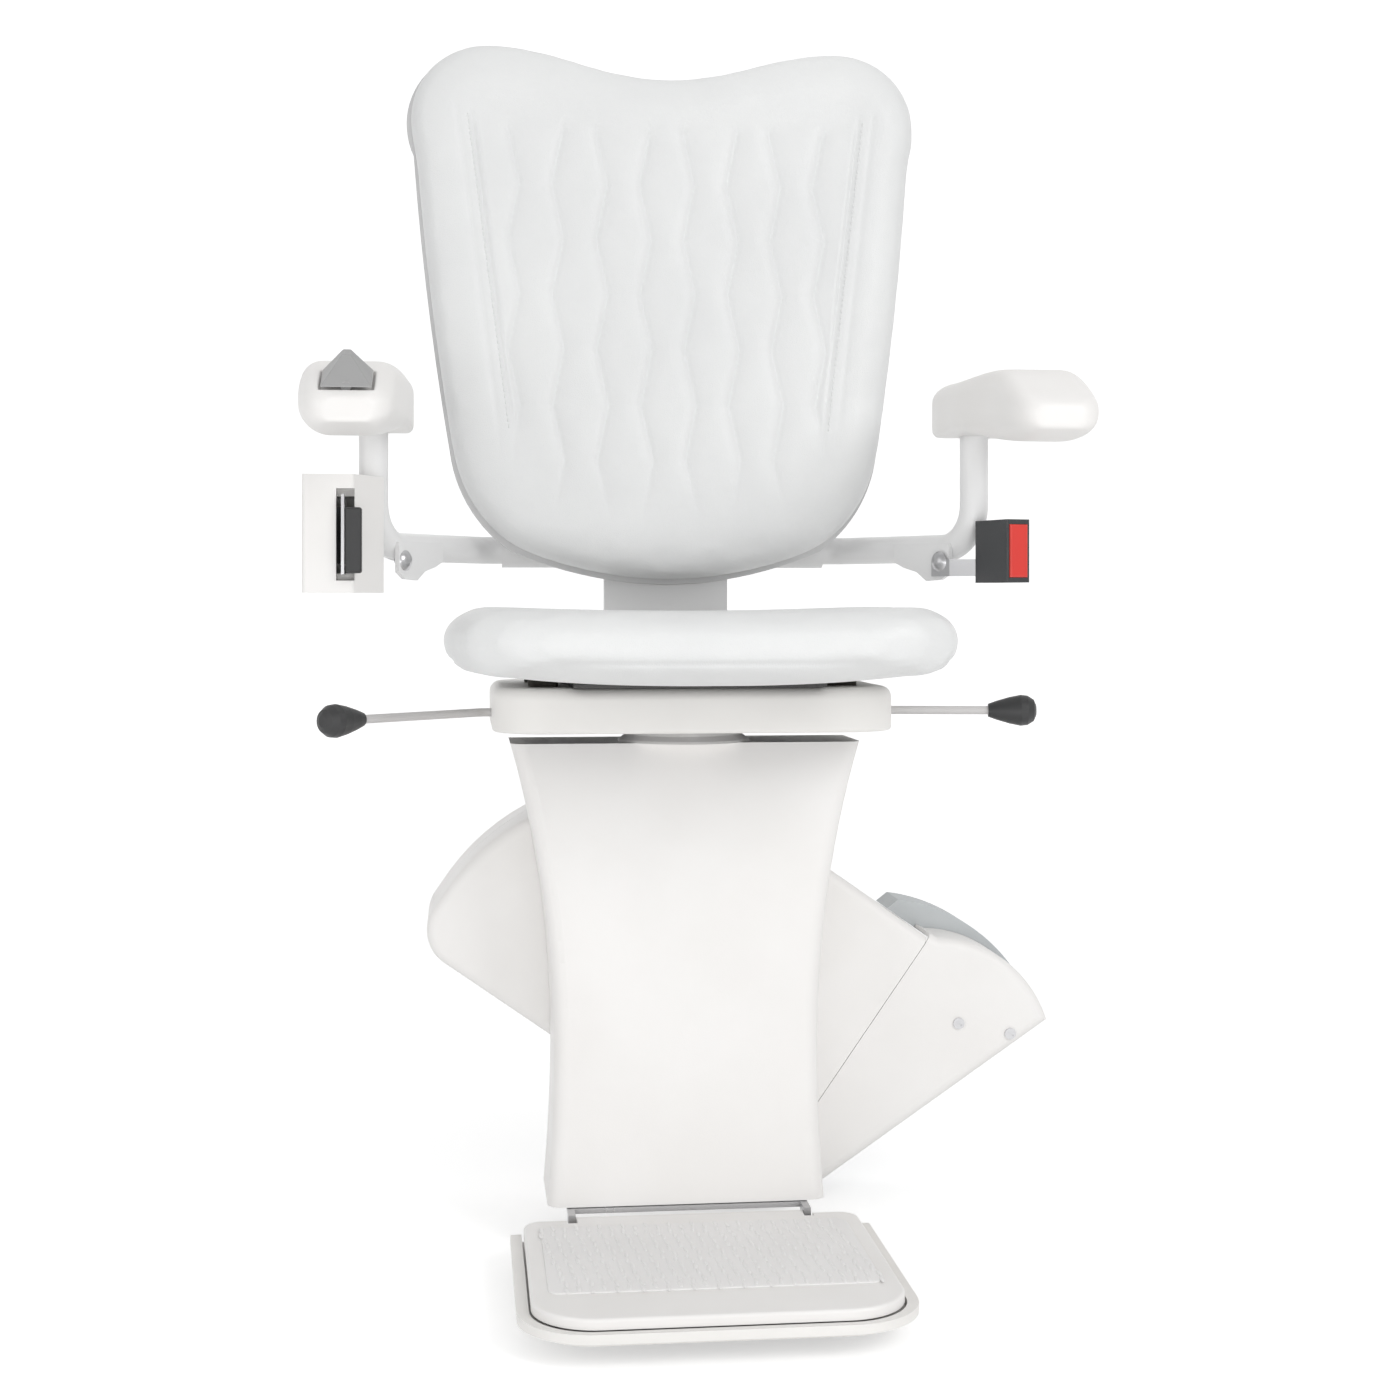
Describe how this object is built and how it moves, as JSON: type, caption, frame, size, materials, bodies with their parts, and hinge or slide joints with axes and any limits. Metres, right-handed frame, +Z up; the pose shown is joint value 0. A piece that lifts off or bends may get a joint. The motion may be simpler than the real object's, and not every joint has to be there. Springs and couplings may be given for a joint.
{
  "type": "stairlift chair",
  "caption": "Padded stairlift seat with folding arms, lap belt, levers and footrest on a tapering column, carried by a sloped powered rail carriage.",
  "frame": {"origin": "centre of the stair rail that the carriage grips, under the middle of the column", "axes": "+Z up, +X to the right seen from the front, +Y from the sitter's front towards the rail and the back of the chair"},
  "size_m": [0.6545, 0.5061, 1.045],
  "materials": {
    "cover_white": "fine satin moulding",
    "housing_white": "satin",
    "leather_white": "soft matt leatherette",
    "shell_grey": "satin",
    "tube_white": "powder coat",
    "steel": "plain",
    "black_steel": "matt black",
    "rod_grey": "satin",
    "knob_black": "satin",
    "buffer_rubber": "matt",
    "roller_rubber": "matt",
    "edge_grey": "soft matt",
    "rocker_grey": "satin",
    "tread_white": "embossed",
    "buckle_black": "satin",
    "button_red": "gloss",
    "web_grey": "woven",
    "battery_black": "satin",
    "board_green": "satin",
    "motor_dark": "satin",
    "gear_metal": "cast"
  },
  "bodies": {
    "carriage": {"chassis_plate": "black_steel", "main_cover": "cover_white", "lower_end_cap": "cover_white", "cover_screws": "steel", "drive_motor": "motor_dark", "gearbox": "gear_metal", "batteries": "battery_black", "control_board": "board_green", "roller_axles": "steel", "column_frame": "tube_white", "column_cover": "cover_white", "column_back_cover": "cover_white", "swivel_post": "steel", "post_collar": "cover_white", "index_plate": "steel", "foot_hinge_bracket": "steel", "foot_hinge_pin": "steel"},
    "pinion": {"drive_pinion": "steel"},
    "roller_1": {"rail_roller_1": "roller_rubber"},
    "roller_2": {"rail_roller_2": "roller_rubber"},
    "roller_3": {"rail_roller_3": "roller_rubber"},
    "roller_4": {"rail_roller_4": "roller_rubber"},
    "upper_edge": {"upper_safety_edge": "cover_white"},
    "lower_edge": {"lower_safety_edge": "edge_grey"},
    "footrest": {"foot_plate": "cover_white", "tread_mat": "tread_white", "pan_screws": "steel"},
    "pan": {"safety_pan": "housing_white"},
    "seat_base": {"swivel_plate": "black_steel", "base_cover": "housing_white", "back_upright": "tube_white", "backrest_shell": "shell_grey", "backrest_cushion": "leather_white", "arm_pivot_tube": "tube_white", "seat_hinge_pin": "steel", "seat_buffers": "buffer_rubber", "lever_pivots": "steel"},
    "seat": {"seat_pan": "black_steel", "seat_cushion": "leather_white"},
    "left_lever": {"left_lever_rod": "rod_grey", "left_lever_knob": "knob_black"},
    "right_lever": {"right_lever_rod": "rod_grey", "right_lever_knob": "knob_black"},
    "latch": {"latch_pin": "steel"},
    "left_arm": {"left_arm_tube": "tube_white", "left_arm_pad": "cover_white", "left_belt_bolt": "steel", "retractor_housing": "cover_white"},
    "rocker": {"direction_rocker": "rocker_grey"},
    "spool": {"retractor_spool": "web_grey"},
    "belt": {"belt_webbing": "web_grey", "belt_tongue": "steel", "tongue_grip": "knob_black"},
    "right_arm": {"right_arm_tube": "tube_white", "right_arm_pad": "cover_white", "right_belt_bolt": "steel", "buckle_tab": "steel", "buckle_body": "buckle_black"},
    "button": {"buckle_button": "button_red"}
  },
  "joints": [
    {"name": "seat_swivel", "type": "hinge", "parent": "carriage", "child": "seat_base", "pos_m": [0, -0.2, 0.194], "axis": [0, 0, 1], "range_deg": [-90, 90]},
    {"name": "seat_fold", "type": "hinge", "parent": "seat_base", "child": "seat", "pos_m": [0, -0.11, 0.266], "axis": [-1, 0, 0], "range_deg": [0, 75]},
    {"name": "left_arm_fold", "type": "hinge", "parent": "seat_base", "child": "left_arm", "pos_m": [0, -0.01686, 0.346], "axis": [-1, 0, 0], "range_deg": [0, 90]},
    {"name": "right_arm_fold", "type": "hinge", "parent": "seat_base", "child": "right_arm", "pos_m": [0, -0.01686, 0.346], "axis": [-1, 0, 0], "range_deg": [0, 90]},
    {"name": "left_lever_press", "type": "hinge", "parent": "seat_base", "child": "left_lever", "pos_m": [-0.13, -0.235, 0.2075], "axis": [0, -1, 0], "range_deg": [0, 7.5], "stiffness_Nm_per_rad": 4, "springref_deg": -8.59},
    {"name": "right_lever_press", "type": "hinge", "parent": "seat_base", "child": "right_lever", "pos_m": [0.13, -0.235, 0.2075], "axis": [0, 1, 0], "range_deg": [0, 7.5]},
    {"name": "latch_lift", "type": "slide", "parent": "seat_base", "child": "latch", "axis": [0, 0, 1], "range_m": [0, 0.0055]},
    {"name": "rocker_tilt", "type": "hinge", "parent": "left_arm", "child": "rocker", "pos_m": [-0.273, -0.373, 0.467], "axis": [0, 0.8988, 0.4384], "range_deg": [-9, 9], "stiffness_Nm_per_rad": 0.3},
    {"name": "belt_pull", "type": "slide", "parent": "left_arm", "child": "belt", "axis": [0, -1, 0], "range_m": [0, 0.03], "stiffness_N_per_m": 10, "springref_m": -0.1},
    {"name": "spool_turn", "type": "hinge", "parent": "left_arm", "child": "spool", "pos_m": [-0.2978, -0.1915, 0.354], "axis": [0, 0, -1], "range_deg": [0, 119]},
    {"name": "buckle_press", "type": "slide", "parent": "right_arm", "child": "button", "axis": [-0.2924, 0.9563, 0], "range_m": [0, 0.004], "stiffness_N_per_m": 500, "springref_m": -0.003},
    {"name": "foot_fold", "type": "hinge", "parent": "carriage", "child": "footrest", "pos_m": [0, -0.249, -0.213], "axis": [-1, 0, 0], "range_deg": [0, 88]},
    {"name": "pan_press", "type": "slide", "parent": "footrest", "child": "pan", "axis": [0, 0, 1], "range_m": [0, 0.004], "stiffness_N_per_m": 600, "springref_m": -0.005},
    {"name": "upper_edge_press", "type": "slide", "parent": "carriage", "child": "upper_edge", "axis": [0.8192, 0, -0.5736], "range_m": [0, 0.005], "stiffness_N_per_m": 900, "springref_m": -0.02},
    {"name": "lower_edge_press", "type": "slide", "parent": "carriage", "child": "lower_edge", "axis": [-0.8192, 0, 0.5736], "range_m": [0, 0.005], "stiffness_N_per_m": 900, "springref_m": -0.005},
    {"name": "pinion_turn", "type": "hinge", "parent": "carriage", "child": "pinion", "pos_m": [-0.11166, -0.026, 0.00616], "axis": [0, 1, 0], "continuous": true},
    {"name": "roller_1_turn", "type": "hinge", "parent": "carriage", "child": "roller_1", "pos_m": [-0.05618, -0.013, 0.10282], "axis": [0, 1, 0], "continuous": true},
    {"name": "roller_2_turn", "type": "hinge", "parent": "carriage", "child": "roller_2", "pos_m": [-0.15679, -0.013, 0.04631], "axis": [0, 1, 0], "continuous": true},
    {"name": "roller_3_turn", "type": "hinge", "parent": "carriage", "child": "roller_3", "pos_m": [0.15679, -0.013, -0.04631], "axis": [0, 1, 0], "continuous": true},
    {"name": "roller_4_turn", "type": "hinge", "parent": "carriage", "child": "roller_4", "pos_m": [0.09714, -0.013, -0.1315], "axis": [0, 1, 0], "continuous": true}
  ],
  "couplings": [
    {"joint": "right_lever_press", "follows": "left_lever_press", "ratio": 1},
    {"joint": "latch_lift", "follows": "left_lever_press", "m_per_rad": 0.042},
    {"joint": "spool_turn", "follows": "belt_pull", "rad_per_m": 68.97}
  ]
}
